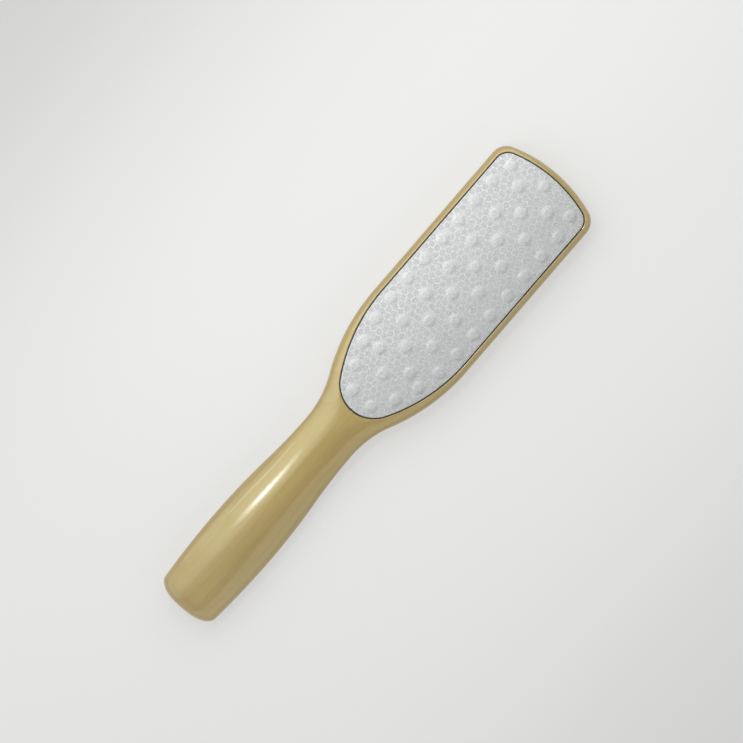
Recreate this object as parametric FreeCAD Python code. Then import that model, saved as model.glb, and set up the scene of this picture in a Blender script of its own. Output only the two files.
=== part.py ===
import FreeCAD
import Part
import math
import os

# A foot file: a wooden paddle with a waisted grip at one end and a wide, parallel-sided head at the other.
# Each face of the head has a shallow pocket in which a steel plate lies on a black adhesive pad.
# The upper plate is coarse, with embossed bosses; the lower one is fine and flat.
# Millimetres. +X runs from the butt to the head and +Z up out of the coarse plate. The origin is at mid-length,
# on the plane of the fine plate's outer face, on which the file rests.

# Paddle in plan: widths, and how far from the butt each is reached
overall_length = 255.0
butt_width = 28.1
belly_width = 32.4
belly_from_butt = 41.5
waist_width = 26.4
waist_from_butt = 100.4
head_width = 55.0
shoulder_from_butt = 162.0
head_corner_radius = 8.0
head_end_radius = 67.0

# The paddle's sides bend between those widths in two arcs; this is the first arc's share of both radii
belly_arc_share = 0.57
waist_arc_share = 0.343

# Paddle in side view
board_thickness = 15.0
butt_thickness = 13.6
waist_thickness = 13.2
thinnest_from_butt = 84.0

# Paddle's cross-section: a flat crown with elliptical edges, nearly a full oval along the grip. The crown is the
# flat's width, and the edge height is how far down the side each rounded edge reaches.
roundest_from_butt = 62.0
butt_crown = 7.0
grip_crown = 2.0
butt_edge_height = 5.4
grip_edge_height = 6.2
waist_edge_height = 4.0
head_edge_round = 3.6
land_past_waist = 0.6
land_arc_share = 0.22
land_margin = 2.5

# Rounded end of the butt, and the small flat in its middle
butt_round_length = 6.0
butt_flat_width = 6.0
butt_flat_thickness = 5.0

# Pocket outline, the same on both faces
side_rim = 2.65
end_rim = 2.4
pocket_tip_past_waist = 15.2
pocket_tip_radius = 15.6
pocket_taper_lag = 3.0
pocket_corner_radius = 7.0

# Plates and pads
plate_thickness = 0.6
plate_gap = 0.55
plate_proud = 0.2
plate_edge_round = 0.2
pad_thickness = 0.5
pad_clearance = 0.1

# Low flat-topped bosses pressed out of the coarse plate
boss_foot_diameter = 6.2
boss_top_diameter = 3.6
boss_height = 0.1
boss_inset = 5.0
outer_row_corner_radius = 3.0
end_boss_spacing = 17.5
outer_row_pitch = 11.5
inner_row_pitch = 15.7
inner_row_spacing = 8.75
boss_least_spacing = 7.5

# Stations along the grip at which its section is set, and the constant stretch that leads into the head
station_pitch = 4.0
head_lead = 8.0

# Worked out from the sizes above
mid_height = plate_proud + board_thickness / 2
head_half = head_width / 2
head_start = shoulder_from_butt + head_lead
land_from_butt = waist_from_butt + land_past_waist
pocket_half = head_half - side_rim
pocket_tip = waist_from_butt + pocket_tip_past_waist
pocket_parallel = shoulder_from_butt + pocket_taper_lag
pocket_end = overall_length - end_rim
pocket_end_radius = head_end_radius - end_rim
pocket_depth = pad_thickness + plate_thickness - plate_proud
half_turn_weight = math.sqrt(0.5)


def point(from_butt, y, z=0.0):
    """A point given by its distance from the butt."""
    return FreeCAD.Vector(from_butt - overall_length / 2, y, z)


def along(x, stops):
    """Value at x of a curve through stops (x, value, first arc's share), level at every stop.

    Two tangent arcs join neighbouring stops; a share of 0 leaves one arc, which is level only at its far stop.
    """
    if x <= stops[0][0]:
        return stops[0][1]
    for (x0, y0, share), (x1, y1, _) in zip(stops, stops[1:]):
        if x > x1:
            continue
        run = x1 - x0
        rise = y1 - y0
        if rise == 0:
            return y0
        radii = (run ** 2 + rise ** 2) / (2 * rise)
        first = abs(radii) * share
        second = abs(radii) - first
        side = math.copysign(1.0, rise)
        if x - x0 < run * share:
            return y0 + side * (first - math.sqrt(first ** 2 - (x - x0) ** 2))
        return y1 - side * (second - math.sqrt(second ** 2 - (x1 - x) ** 2))
    return stops[-1][1]


def half_width(x):
    return along(x, (
        (0.0, butt_width / 2, 0.0),
        (belly_from_butt, belly_width / 2, belly_arc_share),
        (waist_from_butt, waist_width / 2, waist_arc_share),
        (shoulder_from_butt, head_half, 0.5),
    ))


def half_thickness(x):
    return along(x, (
        (0.0, butt_thickness / 2, 0.0),
        (belly_from_butt, board_thickness / 2, 0.5),
        (thinnest_from_butt, waist_thickness / 2, 0.5),
        (pocket_tip - land_margin, board_thickness / 2, 0.5),
    ))


def half_crown(x):
    return along(x, (
        (0.0, butt_crown / 2, 0.5),
        (roundest_from_butt, grip_crown / 2, 0.5),
        (land_from_butt, grip_crown / 2, land_arc_share),
        (shoulder_from_butt, head_half - head_edge_round, 0.5),
    ))


def edge_height(x):
    return along(x, (
        (0.0, butt_edge_height, 0.5),
        (roundest_from_butt, grip_edge_height, 0.5),
        (waist_from_butt, waist_edge_height, 0.5),
        (shoulder_from_butt, head_edge_round, 0.5),
    ))


def section(x):
    """Ring of points round the paddle at x: ends of the flats, and the corner that each rounded edge bends about."""
    wide = half_width(x)
    flat = half_crown(x)
    top = half_thickness(x)
    side = top - edge_height(x)
    right = ((flat, top), (wide, top), (wide, side), (wide, -side), (wide, -top), (flat, -top))
    left = [(-y, -z) for y, z in right]
    ring = [left[-1], *right, *left[:-1]]
    return [point(x, y, mid_height + z) for y, z in ring]


def panels(ring_size):
    """Neighbours in a section's ring that span one flat or one rounded edge, all the way round."""
    spans = []
    for start in range(0, ring_size, 3):
        spans.append((start, start + 1))
        spans.append((start + 1, start + 2, (start + 3) % ring_size))
    return spans


def skin(rows, weights, knots, counts, degree):
    """Surfaces over rows of section points, one for each panel; rows follow one another along the paddle."""
    faces = []
    for panel in panels(len(rows[0])):
        across = [half_turn_weight if len(panel) == 3 and i == 1 else 1.0 for i in range(len(panel))]
        surface = Part.BSplineSurface()
        surface.buildFromPolesMultsKnots(
            [[row[i] for i in panel] for row in rows], counts, [len(panel), len(panel)], knots, [0.0, 1.0],
            False, False, degree, len(panel) - 1, [[w * a for a in across] for w in weights])
        faces.append(surface)
    return faces


def rim_face(surfaces, at):
    """Flat face that closes the end of a skin."""
    edges = [s.uIso(at).toShape() for s in surfaces]
    return Part.Face(Part.Wire(Part.__sortEdges__(edges)))


def grip():
    """Grip and neck, from the butt to where the head's section is constant."""
    steps = round((head_start - butt_round_length) / station_pitch)
    stations = [butt_round_length + (head_start - butt_round_length) * i / steps for i in range(steps + 1)]
    rings = [section(x) for x in stations]
    rails = []
    for i in range(len(rings[0])):
        rail = Part.BSplineCurve()
        rail.interpolate(Points=[ring[i] for ring in rings], Parameters=stations)
        rails.append(rail)
    rows = list(zip(*[rail.getPoles() for rail in rails]))
    body = skin(rows, [1.0] * len(rows), rails[0].getKnots(), rails[0].getMultiplicities(), rails[0].Degree)

    # The butt's rounded end carries on from the rails' slope and closes on a small flat
    starts = [rail.getD1(butt_round_length) for rail in rails]
    corner = [at - slope * butt_round_length for at, slope in starts]
    narrow = butt_flat_width / (2 * half_width(butt_round_length))
    thin = butt_flat_thickness / (2 * half_thickness(butt_round_length))
    flat = [point(0.0, at.y * narrow, mid_height + (at.z - mid_height) * thin) for at, _ in starts]
    nose = skin([flat, corner, [at for at, _ in starts]], [1.0, half_turn_weight, 1.0], [0.0, 1.0], [3, 3], 2)

    faces = [s.toShape() for s in body + nose]
    faces.append(rim_face(nose, 0.0))
    faces.append(rim_face(body, head_start))
    shell = Part.makeShell(faces)
    shell.sewShape()
    solid = Part.makeSolid(shell)
    if solid.Volume < 0:
        solid.reverse()
    return solid


def arc(centre, radius, start, end):
    """Arc about centre from the start angle to the end angle, in degrees."""
    def at(angle):
        turn = math.radians(angle)
        return centre + FreeCAD.Vector(radius * math.cos(turn), radius * math.sin(turn), 0.0)
    return Part.Arc(at(start), at((start + end) / 2), at(end)).toShape()


def rounded_end(half, end, end_radius, corner_radius):
    """Half of a bowed end with a rounded corner, from the middle to the side, and where the side then begins."""
    bow = end - end_radius
    reach = end_radius - corner_radius
    corner_y = half - corner_radius
    corner_x = bow + math.sqrt(reach ** 2 - corner_y ** 2)
    turn = math.degrees(math.asin(corner_y / reach))
    edges = [
        arc(point(bow, 0.0), end_radius, 0.0, turn),
        arc(point(corner_x, corner_y), corner_radius, turn, 90.0),
    ]
    return edges, corner_x


def half_outline(inset, corner_radius):
    """Edges of the pocket's outline, drawn in by inset, from the middle of the end round one side to the tip."""
    half = pocket_half - inset
    edges, side_start = rounded_end(half, pocket_end - inset, pocket_end_radius - inset, corner_radius)
    tip_centre = pocket_tip + pocket_tip_radius
    spread = pocket_half - pocket_tip_radius
    side_radius = ((pocket_parallel - tip_centre) ** 2 / spread + pocket_tip_radius + pocket_half) / 2
    side_centre_y = pocket_half - side_radius
    turn = math.degrees(math.atan2(-side_centre_y, tip_centre - pocket_parallel))
    edges.append(Part.makeLine(point(side_start, half), point(pocket_parallel, half)))
    edges.append(arc(point(pocket_parallel, side_centre_y), side_radius - inset, 90.0, turn))
    edges.append(arc(point(tip_centre, 0.0), pocket_tip_radius - inset, turn, 180.0))
    return edges


def closed_face(half_edges, extra=()):
    """Face inside half an outline, its mirror image across the long axis, and any extra edges."""
    mirrored = [e.mirror(FreeCAD.Vector(0, 0, 0), FreeCAD.Vector(0, 1, 0)) for e in half_edges]
    return Part.Face(Part.Wire(Part.__sortEdges__([*half_edges, *mirrored, *extra])))


def slab(inset, bottom, thickness):
    """Solid of the pocket's outline, drawn in by inset."""
    face = closed_face(half_outline(inset, pocket_corner_radius - inset))
    face.translate(FreeCAD.Vector(0, 0, bottom))
    return face.extrude(FreeCAD.Vector(0, 0, thickness))


def head():
    """Head block with its edges rounded over, except where the neck joins."""
    edges, side_start = rounded_end(head_half, overall_length, head_end_radius, head_corner_radius)
    edges.append(Part.makeLine(point(side_start, head_half), point(head_start, head_half)))
    joint = Part.makeLine(point(head_start, head_half), point(head_start, -head_half))
    face = closed_face(edges, [joint])
    face.translate(FreeCAD.Vector(0, 0, plate_proud))
    block = face.extrude(FreeCAD.Vector(0, 0, board_thickness))
    joint_x = point(head_start, 0.0).x
    rims = []
    for edge in block.Edges:
        box = edge.BoundBox
        if box.ZLength < 1e-6 and box.XMax > joint_x + 1e-6:
            rims.append(edge)
    return block.makeFillet(head_edge_round, rims)


def handle():
    paddle = grip().fuse(head())
    reach = pocket_depth + head_edge_round
    upper = slab(0.0, plate_proud + board_thickness - pocket_depth, reach)
    lower = slab(0.0, plate_proud + pocket_depth - reach, reach)
    return paddle.cut([upper, lower])


def pad(bottom):
    return slab(pad_clearance, bottom, pad_thickness)


def plate(bottom, outer):
    """Flat plate with the rim of its outer face eased; outer is that face's height."""
    flat = slab(plate_gap, bottom, plate_thickness)
    rim = []
    for edge in flat.Edges:
        box = edge.BoundBox
        if box.ZLength < 1e-6 and abs(box.ZMax - outer) < 1e-6:
            rim.append(edge)
    return flat.makeFillet(plate_edge_round, rim)


def outer_row(edges):
    """Boss centres along half the outer row: one at the middle of the end, the rest spaced round to the tip."""
    length = sum(edge.Length for edge in edges)
    rest = length - end_boss_spacing
    count = round(rest / outer_row_pitch - 0.5)
    distances = [0.0] + [end_boss_spacing + rest * i / (count + 0.5) for i in range(count + 1)]
    centres = []
    for distance in distances:
        left = distance
        for edge in edges:
            if left <= edge.Length:
                centres.append(edge.valueAt(edge.getParameterByLength(left)))
                break
            left -= edge.Length
    return centres


def boss_centres():
    """Plan positions of the bosses: an outer row that follows the outline and staggered rows within it."""
    line = half_outline(plate_gap + boss_inset, outer_row_corner_radius)
    field = closed_face(line)
    half_row = outer_row(line)
    outer = half_row + [FreeCAD.Vector(c.x, -c.y, 0.0) for c in half_row[1:]]
    inner = []
    rows = math.ceil(pocket_half / inner_row_spacing)
    columns = math.ceil((pocket_end - pocket_tip) / inner_row_pitch)
    for row in range(-rows, rows + 1):
        stagger = 0.5 * (row % 2)
        for column in range(columns):
            at = half_row[0] + FreeCAD.Vector(-(column + stagger) * inner_row_pitch, row * inner_row_spacing, 0.0)
            clear = min(at.distanceToPoint(c) for c in outer) >= boss_least_spacing
            if clear and field.isInside(at, 1e-6, True):
                inner.append(at)
    return outer + inner


def coarse_plate(bottom):
    """Plate with its bosses pressed up, and the hollow that each leaves in the underside."""
    top = bottom + plate_thickness
    foot = boss_foot_diameter / 2
    crown = boss_top_diameter / 2
    up = FreeCAD.Vector(0, 0, 1)
    base = 2 * foot - crown
    centres = boss_centres()
    bosses = []
    hollows = []
    for centre in centres:
        seat = centre + up * (top - boss_height)
        bosses.append(Part.makeCone(base, crown, 2 * boss_height, seat, up))
        hollows.append(Part.makeCone(base, crown, 2 * boss_height, seat - up * plate_thickness, up))
    return plate(bottom, top).fuse(bosses).cut(hollows)


nodes = {
    "handle": handle(),
    "coarse_pad": pad(plate_proud + board_thickness - pocket_depth),
    "coarse_plate": coarse_plate(plate_proud + board_thickness - pocket_depth + pad_thickness),
    "fine_pad": pad(plate_thickness),
    "fine_plate": plate(0.0, 0.0),
}

os.makedirs("parts", exist_ok=True)
for name, shape in nodes.items():
    solid = shape.Solids[0]
    print(name, "solids", len(shape.Solids), "valid", shape.isValid(), "volume", round(shape.Volume, 2))
    solid.exportStep(f"parts/{name}.step")
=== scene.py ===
import math

import bmesh
import bpy
from mathutils import Matrix, Vector
from mathutils.kdtree import KDTree


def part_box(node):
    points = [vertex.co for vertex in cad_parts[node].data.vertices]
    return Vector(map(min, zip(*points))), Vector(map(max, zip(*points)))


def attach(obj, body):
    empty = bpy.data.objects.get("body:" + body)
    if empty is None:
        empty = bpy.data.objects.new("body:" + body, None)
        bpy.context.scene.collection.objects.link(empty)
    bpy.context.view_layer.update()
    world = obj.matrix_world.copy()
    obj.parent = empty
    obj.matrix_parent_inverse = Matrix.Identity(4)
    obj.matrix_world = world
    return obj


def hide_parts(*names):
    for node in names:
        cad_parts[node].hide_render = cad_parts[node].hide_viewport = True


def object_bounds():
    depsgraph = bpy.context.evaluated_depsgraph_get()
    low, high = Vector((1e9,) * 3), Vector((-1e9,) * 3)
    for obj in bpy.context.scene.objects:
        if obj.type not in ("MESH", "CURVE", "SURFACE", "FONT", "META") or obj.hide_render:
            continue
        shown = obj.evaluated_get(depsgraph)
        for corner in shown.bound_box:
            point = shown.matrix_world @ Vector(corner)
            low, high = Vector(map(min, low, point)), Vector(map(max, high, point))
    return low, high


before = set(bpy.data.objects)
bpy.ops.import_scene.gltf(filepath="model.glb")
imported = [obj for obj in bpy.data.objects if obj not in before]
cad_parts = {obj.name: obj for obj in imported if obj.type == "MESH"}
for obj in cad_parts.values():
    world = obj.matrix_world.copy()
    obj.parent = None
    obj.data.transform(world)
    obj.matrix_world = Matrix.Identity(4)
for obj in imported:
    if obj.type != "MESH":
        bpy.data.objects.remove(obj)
cad_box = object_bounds()

# A foot file: a lacquered wooden paddle with an etched, embossed steel plate let into one face
# of its head and a flat, finer plate in the other. +X runs from the butt to the head and +Z up
# out of the coarse plate. Lengths are in metres.
MM = 0.001

# Taken from the frame
paddle_low, paddle_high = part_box("handle")
plate_low, plate_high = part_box("coarse_plate")
pad_low, pad_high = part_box("coarse_pad")
fine_low, fine_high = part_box("fine_plate")
butt = paddle_low.x
head_end = paddle_high.x
head_half = paddle_high.y
half_board = (paddle_high.z - paddle_low.z) / 2
mid_height = (paddle_high.z + paddle_low.z) / 2

# Paddle: half widths and where they are reached
belly_x = butt + 41.5 * MM
waist_x = butt + 100.4 * MM
shoulder_x = butt + 162.0 * MM
butt_half = 14.05 * MM
belly_half = 16.2 * MM
waist_half = 13.2 * MM
belly_arc_share = 0.57
waist_arc_share = 0.343
head_corner_radius = 8.0 * MM
head_end_radius = 67.0 * MM

# Paddle: half thickness, half the flat crown, and how far each rounded edge reaches down the side
thinnest_x = butt + 84.0 * MM
roundest_x = butt + 62.0 * MM
butt_half_thickness = 6.8 * MM
waist_half_thickness = 6.6 * MM
butt_half_crown = 3.5 * MM
grip_half_crown = 1.0 * MM
butt_edge_height = 5.4 * MM
grip_edge_height = 6.2 * MM
waist_edge_height = 4.0 * MM
head_edge_round = 3.6 * MM
land_x = waist_x + 0.6 * MM
land_arc_share = 0.22
land_margin = 2.5 * MM
butt_round_length = 6.0 * MM
butt_flat_half_width = 3.0 * MM
butt_flat_half_thickness = 2.5 * MM

# Paddle: steps of its mesh, and how the columns beside the pocket's tip lean and spread
skin_steps = 24
side_steps = 3
butt_steps = 10
grip_steps = 44
tip_steps = 14
neck_steps = 36
straight_steps = 30
corner_steps = 14
end_steps = 14
tip_lean = 3.0 * MM
tip_spread = 1.3

# Points nearer to each other than this are one
weld = 1e-6

# Paddle: stretch over which its wood turns darker and warmer, painted shade that offsets the extra
# light of the key panels starting over it
neck_shade_start = butt + 12.0 * MM
neck_shade_end = waist_x - 10.0 * MM

# Pocket that both plates lie in, and the gap round them
plate_gap = 0.55 * MM
pocket_half = plate_high.y + plate_gap
pocket_tip = plate_low.x - plate_gap
pocket_end = plate_high.x + plate_gap
pocket_depth = paddle_high.z - pad_low.z
pocket_tip_radius = 15.6 * MM
pocket_parallel = shoulder_x + 3.0 * MM
pocket_corner_radius = 7.0 * MM
pocket_end_radius = head_end_radius - (head_end - pocket_end)
pocket_ease = 0.25 * MM

# Plates; each ring of a pit is a radius and the depth reached there
plate_edge_round = 0.2 * MM
plate_edge_steps = 6
plate_line_steps = (16, 20, 10, 10)
plate_thickness = fine_high.z - fine_low.z
coarse_pitch = 3.06 * MM
coarse_pit = ((1.34 * MM, 0.0), (1.28 * MM, 0.04 * MM))
coarse_pit_sides = 24
fine_pitch = 1.75 * MM
fine_pit = ((0.74 * MM, 0.0), (0.69 * MM, 0.03 * MM))
fine_pit_sides = 12
cell_weld_share = 0.02
pit_inset_share = 0.02

# Bosses pressed out of the coarse plate
boss_foot = 3.4 * MM
boss_crown = 1.4 * MM
boss_margin = 0.3 * MM
boss_height = plate_high.z - pad_high.z - plate_thickness
boss_inset = 5.0 * MM
boss_line_steps = (24, 48, 12, 24)
boss_ring_shares = (0.8, 0.75, 0.67, 0.5)
boss_ring_inset = 0.01 * MM
outer_row_corner_radius = 3.0 * MM
end_boss_spacing = 17.5 * MM
outer_row_pitch = 11.5 * MM
inner_row_pitch = 15.7 * MM
inner_row_spacing = 8.75 * MM
inner_row_most = 9
boss_least_spacing = 7.5 * MM


def along(x, stops):
    """Value at x of a curve through stops (x, value, first arc's share), level at every stop.

    Two tangent arcs join neighbouring stops. A share of 0 leaves one arc, which is level only at
    its far stop.
    """
    if x <= stops[0][0]:
        return stops[0][1]
    for (x0, y0, share), (x1, y1, _) in zip(stops, stops[1:]):
        if x > x1:
            continue
        run = x1 - x0
        rise = y1 - y0
        if rise == 0:
            return y0
        radii = abs((run ** 2 + rise ** 2) / (2 * rise))
        first = radii * share
        second = radii - first
        side = math.copysign(1.0, rise)
        if x - x0 < run * share:
            return y0 + side * (first - math.sqrt(first ** 2 - (x - x0) ** 2))
        return y1 - side * (second - math.sqrt(second ** 2 - (x1 - x) ** 2))
    return stops[-1][1]


def half_width(x):
    """Half the paddle's width at x."""
    return along(x, (
        (butt, butt_half, 0.0),
        (belly_x, belly_half, belly_arc_share),
        (waist_x, waist_half, waist_arc_share),
        (shoulder_x, head_half, 0.5),
    ))


def half_thickness(x):
    """Half the paddle's thickness at x, on its crown."""
    return along(x, (
        (butt, butt_half_thickness, 0.0),
        (belly_x, half_board, 0.5),
        (thinnest_x, waist_half_thickness, 0.5),
        (pocket_tip - land_margin, half_board, 0.5),
    ))


def half_crown(x):
    """Half the width of the paddle's flat crown at x."""
    return along(x, (
        (butt, butt_half_crown, 0.5),
        (roundest_x, grip_half_crown, 0.5),
        (land_x, grip_half_crown, land_arc_share),
        (shoulder_x, head_half - head_edge_round, 0.5),
    ))


def edge_height(x):
    """How far the paddle's rounded edge reaches down the side at x."""
    return along(x, (
        (butt, butt_edge_height, 0.5),
        (roundest_x, grip_edge_height, 0.5),
        (waist_x, waist_edge_height, 0.5),
        (shoulder_x, head_edge_round, 0.5),
    ))


def arc_points(centre, radius, start, end, steps):
    """Plan points on an arc from one angle to another."""
    angles = [start + (end - start) * i / steps for i in range(steps + 1)]
    return [centre + radius * Vector((math.cos(a), math.sin(a))) for a in angles]


class BowedEnd:
    """A bowed end with rounded corners, as the head and the pocket both have."""

    def __init__(self, half, end, end_radius, corner_radius):
        self.half = half
        self.end_radius = end_radius
        self.corner_radius = corner_radius
        self.bow = Vector((end - end_radius, 0.0))
        reach = end_radius - corner_radius
        corner_y = half - corner_radius
        self.corner = Vector((self.bow.x + math.sqrt(reach ** 2 - corner_y ** 2), corner_y))
        self.turn = math.asin(corner_y / reach)

    def corner_points(self, steps):
        return arc_points(self.corner, self.corner_radius, math.pi / 2, self.turn, steps)

    def end_points(self, steps):
        return arc_points(self.bow, self.end_radius, self.turn, 0.0, steps)

    def inset(self, at):
        """How far a plan point lies inside the edge, and the way out to it; y is not negative."""
        from_bow = at - self.bow
        from_corner = at - self.corner
        if math.atan2(from_bow.y, from_bow.x) < self.turn:
            return self.end_radius - from_bow.length, from_bow.normalized()
        if from_corner.x > 0 and from_corner.y > 0:
            return self.corner_radius - from_corner.length, from_corner.normalized()
        return self.half - at.y, Vector((0.0, 1.0))


class PocketLine:
    """The pocket's outline, drawn in by an inset, on the side where y is positive."""

    def __init__(self, inset=0.0, corner_radius=None):
        if corner_radius is None:
            corner_radius = pocket_corner_radius - inset
        self.end = BowedEnd(
            pocket_half - inset, pocket_end - inset, pocket_end_radius - inset, corner_radius)
        self.tip = Vector((pocket_tip + pocket_tip_radius, 0.0))
        self.tip_radius = pocket_tip_radius - inset
        run = pocket_parallel - self.tip.x
        spread = pocket_half - pocket_tip_radius
        side_radius = (run ** 2 / spread + pocket_tip_radius + pocket_half) / 2
        self.side = Vector((pocket_parallel, pocket_half - side_radius))
        self.side_radius = side_radius - inset
        self.turn = math.atan2(-self.side.y, self.tip.x - self.side.x)

    def tip_points(self, steps):
        return arc_points(self.tip, self.tip_radius, math.pi, self.turn, steps)

    def side_points(self, steps):
        return arc_points(self.side, self.side_radius, self.turn, math.pi / 2, steps)

    def points(self, steps):
        """From the tip to the middle of the end, in so many steps on tip, side, corner and end."""
        tip, side, corner, end = steps
        return (self.tip_points(tip) + self.side_points(side)[1:]
                + self.end.corner_points(corner) + self.end.end_points(end)[1:])

    def way_out(self, at):
        """Unit vector from a plan point straight out across the outline."""
        upper = Vector((at.x, abs(at.y)))
        from_tip = upper - self.tip
        if math.atan2(from_tip.y, from_tip.x) > self.turn:
            out = from_tip.normalized()
        elif upper.x < pocket_parallel:
            out = (upper - self.side).normalized()
        else:
            out = self.end.inset(upper)[1]
        return Vector((out.x, math.copysign(out.y, at.y)))


head = BowedEnd(head_half, head_end, head_end_radius, head_corner_radius)


def edge_fraction(at):
    """0 where the paddle's crown ends and 1 on its outline; negative on the crown."""
    if at.x > pocket_parallel:
        return 1 - head.inset(at)[0] / head_edge_round
    crown = half_crown(at.x)
    return (at.y - crown) / (half_width(at.x) - crown)


def paddle_height(at):
    """Height of the paddle's upper skin over its middle plane."""
    fraction = min(max(edge_fraction(at), 0.0), 1.0)
    return half_thickness(at.x) - edge_height(at.x) * (1 - math.sqrt(1 - fraction ** 2))


def paddle_column(inner, outer):
    """Points over the paddle's skin from an inner plan point to the outline, then down the side.

    They lie evenly along the skin and end at mid-height.
    """
    run = (outer - inner).length
    start = edge_fraction(inner)
    flat = run * max(0.0, -start / (1 - start))
    across = run / (1 - start)
    bend = math.sqrt((across ** 2 + edge_height(outer.x) ** 2) / 2)
    first_angle = math.asin(max(start, 0.0))
    total = flat + bend * (math.pi / 2 - first_angle)
    column = []
    for i in range(skin_steps + 1):
        distance = total * i / skin_steps
        if distance <= flat:
            share = distance / run
        else:
            share = (math.sin(first_angle + (distance - flat) / bend) - start) / (1 - start)
        at = inner.lerp(outer, min(share, 1.0))
        column.append(Vector((at.x, at.y, paddle_height(at))))
    shoulder = column[-1].copy()
    for i in range(1, side_steps + 1):
        column.append(Vector((shoulder.x, shoulder.y, shoulder.z * (1 - i / side_steps))))
    return column


def grip_column(x):
    """Column from the grip's middle line to its outline."""
    return paddle_column(Vector((x, 0.0)), Vector((x, half_width(x))))


def butt_columns(start):
    """Columns of the butt: each row of the grip at start turns along a quarter ellipse to a flat."""
    nudge = 0.01 * MM
    narrow = butt_flat_half_width / half_width(start)
    thin = butt_flat_half_thickness / half_thickness(start)
    rows = list(zip(grip_column(start), grip_column(start + nudge)))
    columns = []
    for i in range(butt_steps):
        angle = math.pi / 2 * i / butt_steps
        column = []
        for at, ahead in rows:
            corner = at - (ahead - at) / nudge * butt_round_length
            flat = Vector((butt, at.y * narrow, at.z * thin))
            middle = flat + at - corner
            column.append(
                middle + (corner - at) * math.cos(angle) + (corner - flat) * math.sin(angle))
        columns.append(column)
    return columns


def head_columns():
    """Columns of the neck and head, from the pocket's edge to the outline."""
    pocket = PocketLine()
    tip_line = pocket.tip_points(tip_steps)
    turn_x = tip_line[-1].x - tip_lean
    pairs = []
    for i, inner in enumerate(tip_line[1:], 1):
        x = pocket_tip + (turn_x - pocket_tip) * (i / tip_steps) ** tip_spread
        pairs.append((inner, Vector((x, half_width(x)))))
    for i, inner in enumerate(pocket.side_points(neck_steps)[1:], 1):
        x = turn_x + (pocket_parallel - turn_x) * i / neck_steps
        pairs.append((inner, Vector((x, half_width(x)))))
    for i in range(1, straight_steps):
        share = i / straight_steps
        inner_x = pocket_parallel + (pocket.end.corner.x - pocket_parallel) * share
        outer_x = pocket_parallel + (head.corner.x - pocket_parallel) * share
        pairs.append((Vector((inner_x, pocket_half)), Vector((outer_x, head_half))))
    pairs += zip(pocket.end.corner_points(corner_steps), head.corner_points(corner_steps))
    pairs += zip(pocket.end.end_points(end_steps)[1:], head.end_points(end_steps)[1:])
    return [paddle_column(inner, outer) for inner, outer in pairs]


def paddle_columns():
    """Columns over a quarter of the paddle, from the butt's flat to the middle of the head's end."""
    start = butt + butt_round_length
    grip = []
    for i in range(grip_steps + 1):
        grip.append(grip_column(start + (pocket_tip - start) * i / grip_steps))
    return butt_columns(start) + grip + head_columns()


def finish_mesh(bm, name, sharp_angle):
    """Object made of a bmesh, smooth apart from edges sharper than the angle, in degrees."""
    mesh = bpy.data.meshes.new(name)
    bm.to_mesh(mesh)
    bm.free()
    mesh.shade_smooth()
    mesh.set_sharp_from_angle(angle=math.radians(sharp_angle))
    piece = bpy.data.objects.new(name, mesh)
    bpy.context.scene.collection.objects.link(piece)
    return piece


def extrude_rim(bm, edges):
    """Extrudes open edges and returns the new edges and vertices."""
    made = bmesh.ops.extrude_edge_only(bm, edges=edges)["geom"]
    verts = [g for g in made if isinstance(g, bmesh.types.BMVert)]
    new_edges = [g for g in made if isinstance(g, bmesh.types.BMEdge) and g.is_boundary]
    return new_edges, verts


def paddle_skin():
    """The paddle's skin, open at the butt's flat and the pockets: a quarter grid, mirrored twice."""
    columns = paddle_columns()
    last_column = len(columns) - 1
    last_row = len(columns[0]) - 1
    bm = bmesh.new()
    bmesh.ops.create_grid(bm, x_segments=last_column, y_segments=last_row, size=0.5)
    for vert in bm.verts:
        column = columns[round((vert.co.x + 0.5) * last_column)]
        vert.co = column[round((vert.co.y + 0.5) * last_row)]
    for axis in ("Y", "Z"):
        quarter = bm.verts[:] + bm.edges[:] + bm.faces[:]
        bmesh.ops.mirror(bm, geom=quarter, axis=axis, merge_dist=weld)
    bmesh.ops.remove_doubles(bm, verts=bm.verts, dist=weld)
    bmesh.ops.recalc_face_normals(bm, faces=bm.faces)
    return bm


def make_paddle():
    """The wooden paddle: its skin with the butt closed, and a pocket with eased edges in each face."""
    bm = paddle_skin()
    open_edges = [e for e in bm.edges if e.is_boundary]
    butt_edges = [e for e in open_edges if max(v.co.x for v in e.verts) < butt + weld]
    rims = [e for e in open_edges if e not in butt_edges]
    bmesh.ops.edgeloop_fill(bm, edges=butt_edges)
    for side in (1, -1):
        rim = [e for e in rims if e.verts[0].co.z * side > 0]
        floor_edges, floor_verts = extrude_rim(bm, rim)
        for vert in floor_verts:
            vert.co.z = side * (half_board - pocket_depth)
        bmesh.ops.edgeloop_fill(bm, edges=floor_edges)
    bmesh.ops.recalc_face_normals(bm, faces=bm.faces)
    bmesh.ops.bevel(
        bm, geom=rims, offset=pocket_ease, segments=2, profile=0.5, affect="EDGES", material=-1)
    bmesh.ops.recalc_face_normals(bm, faces=bm.faces)
    bmesh.ops.translate(bm, verts=bm.verts, vec=(0.0, 0.0, mid_height))
    return finish_mesh(bm, "wood_paddle", sharp_angle=50)


def points_along(walk, distances):
    """Points at the given distances along a chain of plan points."""
    points = []
    for distance in distances:
        left = distance
        for a, b in zip(walk, walk[1:]):
            step = (b - a).length
            if left <= step:
                points.append(a.lerp(b, left / step))
                break
            left -= step
    return points


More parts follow.
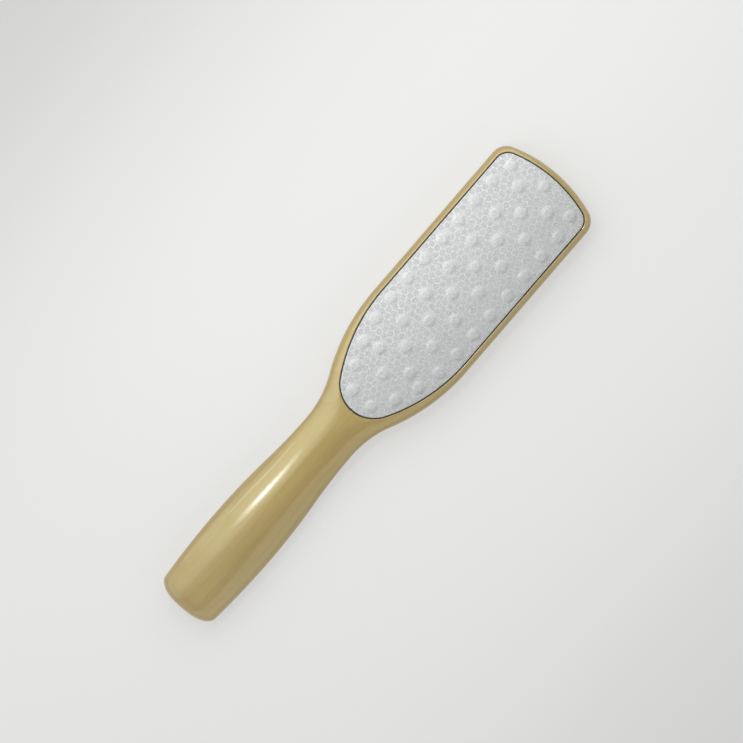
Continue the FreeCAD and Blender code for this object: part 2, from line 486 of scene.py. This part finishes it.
def boss_centres():
    """Plan places of the bosses: an outer row along the outline and staggered rows within it."""
    line = PocketLine(plate_gap + boss_inset, outer_row_corner_radius)
    walk = list(reversed(line.points(boss_line_steps)))
    rest = sum((b - a).length for a, b in zip(walk, walk[1:])) - end_boss_spacing
    count = round(rest / outer_row_pitch - 0.5)
    distances = [0.0] + [end_boss_spacing + rest * i / (count + 0.5) for i in range(count + 1)]
    outer = points_along(walk, distances)
    outer += [Vector((c.x, -c.y)) for c in outer[1:]]
    inner = []
    for row in (-1, 0, 1):
        for column in range(inner_row_most):
            back = (column + 0.5 * abs(row)) * inner_row_pitch
            at = outer[0] + Vector((-back, row * inner_row_spacing))
            clear = min((at - c).length for c in outer) >= boss_least_spacing
            if clear and at.x > line.tip.x - line.tip_radius:
                inner.append(at)
    return outer + inner


def boss_tree():
    """Search tree of the bosses' middles."""
    centres = boss_centres()
    tree = KDTree(len(centres))
    for index, centre in enumerate(centres):
        tree.insert(centre.to_3d(), index)
    tree.balance()
    return tree


def to_boss(at, tree):
    """Distance in plan from a point to the nearest boss's middle."""
    return tree.find((at.x, at.y, 0.0))[2]


def on_boss(at, tree):
    """Whether a point lies on a boss or in the margin round it."""
    return to_boss(at, tree) < boss_foot + boss_margin


def raise_bosses(bm, tree):
    """Presses the bosses up out of a flat sheet.

    The many-sided faces there get rings first, each a share of the one round it, so that they bend.
    """
    floors = [f for f in bm.faces if len(f.verts) > 4 and any(on_boss(v.co, tree) for v in f.verts)]
    for share in boss_ring_shares:
        bmesh.ops.inset_individual(bm, faces=floors, thickness=boss_ring_inset)
        for floor in floors:
            middle = floor.calc_center_median()
            for vert in floor.verts:
                vert.co = middle.lerp(vert.co, share)
    for vert in bm.verts:
        rise = (boss_foot - to_boss(vert.co, tree)) / (boss_foot - boss_crown)
        rise = min(max(rise, 0.0), 1.0)
        vert.co.z += boss_height * rise * rise * (3 - 2 * rise)


class PlateOutline:
    """Straight sides round a plate's flat face, each a point on it and the way out across it."""

    def __init__(self, line):
        upper = line.points(plate_line_steps)
        corners = [Vector((p.x, -p.y)) for p in upper[1:]] + list(reversed(upper))
        self.sides = []
        for a, b in zip(corners, corners[1:] + corners[:1]):
            ahead = (b - a).normalized()
            self.sides.append((a, Vector((ahead.y, -ahead.x))))

    def overhang(self, at):
        """How far a plan point lies outside; negative inside."""
        return max((at - a).dot(out) for a, out in self.sides)


def cell_radius(pitch):
    """From the middle of a six-sided cell to its corners."""
    return pitch / math.sqrt(3)


def six_sided_cells(pitch, cell_sides, outline):
    """Flat sheet of six-sided cells over the outline, in rows across the paddle.

    Each cell's edge has cell_sides points, six of them its corners.
    """
    bm = bmesh.new()
    radius = cell_radius(pitch)
    row_step = 1.5 * radius
    rows = math.ceil((pocket_end - pocket_tip) / row_step) + 1
    half_count = math.ceil(pocket_half / pitch) + 1
    for row in range(rows):
        for column in range(-half_count, half_count + 1):
            y = (column + 0.5 * (row % 2)) * pitch
            centre = Vector((pocket_tip + row * row_step, y, 0.0))
            if outline.overhang(centre.xy) > radius:
                continue
            place = Matrix.Translation(centre)
            cell = bmesh.ops.create_circle(
                bm, cap_ends=True, segments=cell_sides, radius=radius, matrix=place)
            for vert in cell["verts"]:
                spoke = vert.co - centre
                from_flat = math.atan2(spoke.y, spoke.x) % (math.pi / 3) - math.pi / 6
                vert.co = centre + spoke * (pitch / 2 / radius / math.cos(from_flat))
    bmesh.ops.remove_doubles(bm, verts=bm.verts, dist=pitch * cell_weld_share)
    bm.normal_update()
    for face in bm.faces:
        if face.normal.z < 0:
            face.normal_flip()
    return bm


def etch_pits(bm, pitch, pit_rings, bosses):
    """Sinks a round pit in every cell that isn't on a boss.

    The attribute etch is 1 in the pits, 0 on the lands between them and a half on the bosses.
    """
    etch = bm.verts.layers.float.new("etch")
    cells = []
    for cell in bm.faces:
        if bosses and on_boss(cell.calc_center_median(), bosses):
            for vert in cell.verts:
                vert[etch] = 0.5
        else:
            cells.append(cell)
    centres = [cell.calc_center_median() for cell in cells]
    inset = pitch * pit_inset_share
    for radius, depth in pit_rings:
        bmesh.ops.inset_individual(bm, faces=cells, thickness=inset, use_even_offset=True)
        for cell, centre in zip(cells, centres):
            for vert in cell.verts:
                vert.co = centre + (vert.co.xy - centre.xy).normalized().to_3d() * radius
                vert.co.z = -depth
                vert[etch] = 1.0 if depth else 0.0


def trim_sheet(bm, outline, reach):
    """Cuts off what stands outside the outline, looking at faces within reach of it."""
    border = [f for f in bm.faces if outline.overhang(f.calc_center_median().xy) > -reach]
    for a, out in outline.sides:
        near = [f for f in border if (f.calc_center_median().xy - a).dot(out) > -reach]
        geom = dict.fromkeys(g for f in near for g in (f, *f.edges, *f.verts))
        cut = bmesh.ops.bisect_plane(
            bm, geom=list(geom), dist=weld, clear_outer=True,
            plane_co=a.to_3d(), plane_no=out.to_3d())["geom_cut"]
        cut_verts = [g for g in cut if isinstance(g, bmesh.types.BMVert)]
        kept = [f for f in border if f.is_valid]
        border = list(dict.fromkeys(kept + [f for v in cut_verts for f in v.link_faces]))


def etched_sheet(pitch, pit_rings, cell_sides, bosses=None):
    """A plate's flat face with its pits, and the line of its edge."""
    line = PocketLine(plate_gap + plate_edge_round)
    outline = PlateOutline(line)
    bm = six_sided_cells(pitch, cell_sides, outline)
    etch_pits(bm, pitch, pit_rings, bosses)
    trim_sheet(bm, outline, cell_radius(pitch))
    return bm, line


def close_plate(bm, line):
    """Gives a sheet its eased edge, its thickness and its back."""
    edges = [e for e in bm.edges if e.is_boundary]
    turns = [math.pi / 2 * i / plate_edge_steps for i in range(plate_edge_steps + 1)]
    for turn, next_turn in zip(turns, turns[1:]):
        edges, verts = extrude_rim(bm, edges)
        wider = math.sin(next_turn) - math.sin(turn)
        higher = math.cos(next_turn) - math.cos(turn)
        for vert in verts:
            out = line.way_out(vert.co.xy) * plate_edge_round * wider
            vert.co += Vector((out.x, out.y, plate_edge_round * higher))
    edges, verts = extrude_rim(bm, edges)
    for vert in verts:
        vert.co.z = -plate_thickness
    bmesh.ops.edgeloop_fill(bm, edges=edges)
    bmesh.ops.recalc_face_normals(bm, faces=bm.faces)


def make_coarse_plate():
    """The embossed plate, face up in the upper pocket."""
    bosses = boss_tree()
    bm, line = etched_sheet(coarse_pitch, coarse_pit, coarse_pit_sides, bosses)
    raise_bosses(bm, bosses)
    close_plate(bm, line)
    bmesh.ops.translate(bm, verts=bm.verts, vec=(0.0, 0.0, pad_high.z + plate_thickness))
    return finish_mesh(bm, "coarse_file_plate", sharp_angle=18)


def make_fine_plate():
    """The flat plate, face down in the lower pocket."""
    bm, line = etched_sheet(fine_pitch, fine_pit, fine_pit_sides)
    close_plate(bm, line)
    bmesh.ops.scale(bm, verts=bm.verts, vec=(1.0, 1.0, -1.0))
    bmesh.ops.reverse_faces(bm, faces=bm.faces)
    bmesh.ops.translate(bm, verts=bm.verts, vec=(0.0, 0.0, fine_low.z))
    return finish_mesh(bm, "fine_file_plate", sharp_angle=18)


class Finish:
    """A material with its shader, and short ways to add and join nodes."""

    def __init__(self, name):
        self.material = bpy.data.materials.new(name)
        self.material.use_nodes = True
        self.tree = self.material.node_tree
        self.shader = self.tree.nodes["Principled BSDF"]
        self.place = self.tree.nodes.new("ShaderNodeTexCoord").outputs["Object"]

    def feed(self, socket, value):
        """Links a node's output to a socket, or sets a plain value there."""
        if isinstance(value, bpy.types.NodeSocket):
            self.tree.links.new(value, socket)
        else:
            socket.default_value = value

    def add(self, kind, inputs=None, **settings):
        node = self.tree.nodes.new(kind)
        for name, value in settings.items():
            setattr(node, name, value)
        for name, value in (inputs or {}).items():
            self.feed(node.inputs[name], value)
        return node

    def stretch(self, scale, location=(0.0, 0.0, 0.0)):
        node = self.add(
            "ShaderNodeMapping", {"Vector": self.place, "Scale": scale, "Location": location})
        return node.outputs["Vector"]

    def noise(self, vector, scale, detail, roughness=0.5):
        node = self.add("ShaderNodeTexNoise", {
            "Vector": vector, "Scale": scale, "Detail": detail, "Roughness": roughness})
        return node.outputs["Fac"]

    def ramp(self, value, stops):
        node = self.add("ShaderNodeValToRGB", {"Fac": value})
        ramp = node.color_ramp
        while len(ramp.elements) < len(stops):
            ramp.elements.new(0.5)
        for element, (position, colour) in zip(ramp.elements, stops):
            element.position = position
            element.color = (*colour, 1.0)
        return node.outputs["Color"]

    def mix(self, kind, factor, first, second):
        node = self.add(
            "ShaderNodeMix", {0: factor, 6: first, 7: second}, data_type="RGBA", blend_type=kind)
        return node.outputs[2]

    def tint(self, colour, value, stops):
        """A colour multiplied by a ramp along a value."""
        return self.mix("MULTIPLY", 1.0, colour, self.ramp(value, stops))

    def total(self, first, second, clamp=False):
        return self.add("ShaderNodeMath", {0: first, 1: second}, use_clamp=clamp).outputs["Value"]

    def range(self, value, low, high, from_low=0.0, from_high=1.0):
        node = self.add("ShaderNodeMapRange", {
            "Value": value, "From Min": from_low, "From Max": from_high,
            "To Min": low, "To Max": high})
        return node.outputs["Result"]

    def bump(self, height, strength, distance):
        node = self.add(
            "ShaderNodeBump", {"Height": height, "Strength": strength, "Distance": distance})
        return node.outputs["Normal"]

    def set(self, **values):
        """Sets the shader's inputs, named in small letters."""
        for name, value in values.items():
            title = name.replace("_", " ").title().replace("Ior", "IOR")
            self.feed(self.shader.inputs[title], value)


def lacquered_wood():
    """Pale, straight-grained wood under a clear gloss lacquer."""
    finish = Finish("lacquered_wood")
    rings = finish.add(
        "ShaderNodeTexWave",
        {"Vector": finish.stretch((0.05, 1.0, 1.0), (0.0, 0.021, 0.055)), "Scale": 95.0,
         "Distortion": 2.2, "Detail": 3.0, "Detail Scale": 0.9},
        wave_type="RINGS", rings_direction="X", wave_profile="SAW")
    growth = finish.ramp(rings.outputs["Fac"], (
        (0.0, (0.358, 0.249, 0.109)), (0.7, (0.346, 0.239, 0.103)), (1.0, (0.326, 0.221, 0.093))))
    drift = finish.noise(finish.stretch((6.0, 70.0, 70.0)), 1.0, 3.0)
    colour = finish.tint(growth, drift, (
        (0.3, (0.93, 0.92, 0.9)), (0.7, (1.05, 1.05, 1.06))))
    lengthways = finish.add("ShaderNodeSeparateXYZ", {"Vector": finish.place}).outputs["X"]
    # Painted shade: the wood darkens towards the neck to cancel the key panels that start over the
    # grip
    neck_shade = finish.range(lengthways, 0.0, 1.0, neck_shade_start, neck_shade_end)
    colour = finish.tint(colour, neck_shade, (
        (0.0, (0.99, 1.0, 1.09)), (1.0, (0.865, 0.845, 0.79))))
    fibre = finish.noise(finish.stretch((25.0, 1300.0, 1300.0)), 1.0, 4.0, 0.6)
    colour = finish.tint(colour, fibre, (
        (0.3, (0.92, 0.91, 0.88)), (0.62, (1.03, 1.03, 1.03))))
    flecks = finish.noise(finish.stretch((160.0, 2600.0, 2600.0)), 1.0, 2.0)
    colour = finish.tint(colour, flecks, (
        (0.27, (0.88, 0.85, 0.8)), (0.36, (1.0, 1.0, 1.0))))
    finish.set(
        base_color=colour,
        roughness=finish.range(fibre, 0.42, 0.48),
        normal=finish.bump(fibre, 0.15, 0.05 * MM),
        ior=1.66,
        specular_ior_level=1.0,
        specular_tint=(1.0, 1.0, 0.36, 1.0),
        coat_weight=1.0,
        coat_roughness=0.08,
        coat_ior=1.6)
    return finish.material


def etched_steel(name, grain):
    """Satin steel, duller in the etched pits; grain is the number of frost specks in a metre."""
    finish = Finish(name)
    etch = finish.add("ShaderNodeAttribute", attribute_name="etch").outputs["Fac"]
    frost = finish.noise(finish.place, grain, 3.0, 0.6)
    cloud = finish.noise(finish.place, 140.0, 3.0)
    land = finish.ramp(frost, ((0.32, (0.415, 0.422, 0.42)), (0.68, (0.583, 0.59, 0.588))))
    pit = finish.ramp(frost, ((0.32, (0.377, 0.384, 0.382)), (0.68, (0.531, 0.538, 0.536))))
    finish.set(
        base_color=finish.tint(finish.mix("MIX", etch, land, pit), cloud, (
            (0.3, (0.96, 0.96, 0.96)), (0.7, (1.0, 1.0, 1.0)))),
        metallic=1.0,
        roughness=finish.total(finish.range(etch, 0.43, 0.53), finish.range(frost, -0.04, 0.04)),
        normal=finish.bump(frost, 0.12, 0.1 * MM))
    return finish.material


def adhesive_pad():
    """Matt black adhesive pad."""
    finish = Finish("adhesive_pad")
    cells = finish.noise(finish.place, 2200.0, 3.0)
    finish.set(
        base_color=finish.ramp(cells, (
            (0.3, (0.02, 0.019, 0.017)), (0.7, (0.04, 0.038, 0.034)))),
        roughness=finish.range(cells, 0.7, 0.9),
        normal=finish.bump(cells, 0.4, 0.1 * MM))
    return finish.material


def pale_floor():
    """Matt pale floor, nearly even in sight and in reflections, that still takes the file's shadow."""
    finish = Finish("pale_floor")
    finish.set(base_color=(0.72, 0.72, 0.71, 1.0), roughness=0.7)
    even_share = 0.65
    ray = finish.add("ShaderNodeLightPath").outputs
    seen = finish.total(ray["Is Camera Ray"], ray["Is Glossy Ray"])
    seen = finish.total(seen, ray["Is Transmission Ray"], clamp=True)
    even = finish.add("ShaderNodeEmission", {"Color": (0.8, 0.8, 0.79, 1.0), "Strength": 1.0})
    mixed = finish.add("ShaderNodeMixShader", {
        0: finish.range(seen, 0.0, even_share),
        1: finish.shader.outputs["BSDF"],
        2: even.outputs["Emission"]})
    surface = finish.tree.nodes["Material Output"].inputs["Surface"]
    finish.feed(surface, mixed.outputs["Shader"])
    return finish.material


def dress(piece, material, node):
    """Puts a finish on a piece that stands for a solid of the frame."""
    piece.data.materials.append(material)
    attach(piece, "root")
    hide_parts(node)


def make_floor():
    """The floor, level with the file's lowest face."""
    bm = bmesh.new()
    bmesh.ops.create_grid(bm, x_segments=1, y_segments=1, size=3.0)
    bmesh.ops.translate(bm, verts=bm.verts, vec=(0.0, 0.0, cad_box[0][2]))
    floor = finish_mesh(bm, "floor", sharp_angle=30)
    floor.data.materials.append(pale_floor())


def make_camera():
    """Straight down, turned so that the head points up and to the right."""
    tilt = math.radians(49.2)
    view_width = 330.08 * MM
    distance = 3.5
    centre = Vector((7.143 * MM, 4.64 * MM, mid_height + half_board / 2))
    data = bpy.data.cameras.new("camera")
    data.sensor_fit = "HORIZONTAL"
    data.sensor_width = 36.0
    data.lens = data.sensor_width * distance / view_width
    data.clip_end = 20.0
    camera = bpy.data.objects.new("camera", data)
    camera.location = centre + Vector((0.0, 0.0, distance))
    camera.rotation_euler = (0.0, 0.0, -tilt)
    bpy.context.scene.collection.objects.link(camera)
    bpy.context.scene.camera = camera


def make_world():
    """White world, dim overhead and brighter towards the horizon."""
    horizon_strength = 0.8
    overhead_strength = 0.12
    overhead_from = 0.8
    world = bpy.data.worlds.new("studio")
    world.use_nodes = True
    tree = world.node_tree
    place = tree.nodes.new("ShaderNodeTexCoord")
    split = tree.nodes.new("ShaderNodeSeparateXYZ")
    height = tree.nodes.new("ShaderNodeMapRange")
    height.inputs["From Max"].default_value = overhead_from
    height.inputs["To Min"].default_value = horizon_strength
    height.inputs["To Max"].default_value = overhead_strength
    background = tree.nodes["Background"]
    background.inputs["Color"].default_value = (1.0, 1.0, 1.0, 1.0)
    tree.links.new(place.outputs["Generated"], split.inputs["Vector"])
    tree.links.new(split.outputs["Z"], height.inputs["Value"])
    tree.links.new(height.outputs["Result"], background.inputs["Strength"])
    bpy.context.scene.world = world


def soft_panel(name, size, at, aim, radiance, shape="RECTANGLE"):
    """Soft light that faces a point, hidden from the camera."""
    data = bpy.data.lights.new(name, "AREA")
    data.shape = shape
    data.size, data.size_y = size
    face = size[0] * size[1] * (math.pi / 4 if shape == "DISK" else 1.0)
    data.energy = radiance * math.pi * face
    lamp = bpy.data.objects.new(name, data)
    lamp.location = at
    lamp.rotation_euler = (Vector(aim) - Vector(at)).to_track_quat("-Z", "Y").to_euler()
    lamp.visible_camera = False
    bpy.context.scene.collection.objects.link(lamp)


def off_vertical(angle, distance, x):
    """Place at a distance from the file's long axis, so many degrees off the vertical towards +Y."""
    turn = math.radians(angle)
    return (x, distance * math.sin(turn), mid_height + distance * math.cos(turn))


def side_panel(name, low, high, radiance, start=-0.5):
    """Long soft light beside the file, from start on in x.

    Seen from the file's long axis it spans the angles off the vertical from low to high.
    """
    distance = 0.16
    end = 0.5
    middle = (start + end) / 2
    width = 2 * distance * math.tan(math.radians(high - low) / 2)
    place = off_vertical((low + high) / 2, distance, middle)
    soft_panel(name, (end - start, width), place, (middle, 0.0, mid_height), radiance)


def make_lamps():
    """Soft panels on both sides, a strip over the head, a narrow strip and a round lamp."""
    # The key's panels overlap and end at different angles, so that its edges stay soft in the lacquer
    side_panel("key_1", low=1, high=73, radiance=0.45)
    side_panel("key_2", low=4, high=67, radiance=0.47)
    side_panel("key_3", low=7, high=56, radiance=0.44, start=-0.11)
    side_panel("key_4", low=11, high=46, radiance=0.4, start=-0.08)
    side_panel("fill_1", low=-72, high=-24, radiance=0.33)
    side_panel("fill_2", low=-66, high=-26, radiance=0.33)
    head_x = 0.13
    soft_panel(
        "head_strip", size=(0.28, 0.06), at=(head_x, 0.034, 0.2),
        aim=(head_x, 0.01, plate_high.z), radiance=0.8)
    narrow_x = 0.15
    soft_panel(
        "narrow_strip", size=(0.46, 0.035), at=off_vertical(angle=43, distance=0.8, x=narrow_x),
        aim=(narrow_x, 0.0, mid_height), radiance=3.0)

    # The round lamp is three discs of a width and a radiance each, so that it fades outwards
    lamp_place = off_vertical(angle=16, distance=1.18, x=0.03)
    for number, (width, radiance) in enumerate(((0.09, 26.0), (0.16, 6.5), (0.25, 2.2))):
        soft_panel(
            f"lamp_{number}", size=(width, width), at=lamp_place,
            aim=(0.0, 0.0, mid_height), radiance=radiance, shape="DISK")


dress(make_paddle(), lacquered_wood(), "handle")
dress(
    make_coarse_plate(), etched_steel("coarse_etched_steel", grain=1300.0),
    "coarse_plate")
dress(
    make_fine_plate(), etched_steel("fine_etched_steel", grain=1900.0),
    "fine_plate")
pad_material = adhesive_pad()
for node in ("coarse_pad", "fine_pad"):
    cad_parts[node].data.materials.clear()
    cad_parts[node].data.materials.append(pad_material)
make_floor()
make_camera()
make_world()
make_lamps()
bpy.context.scene.view_settings.view_transform = "Standard"
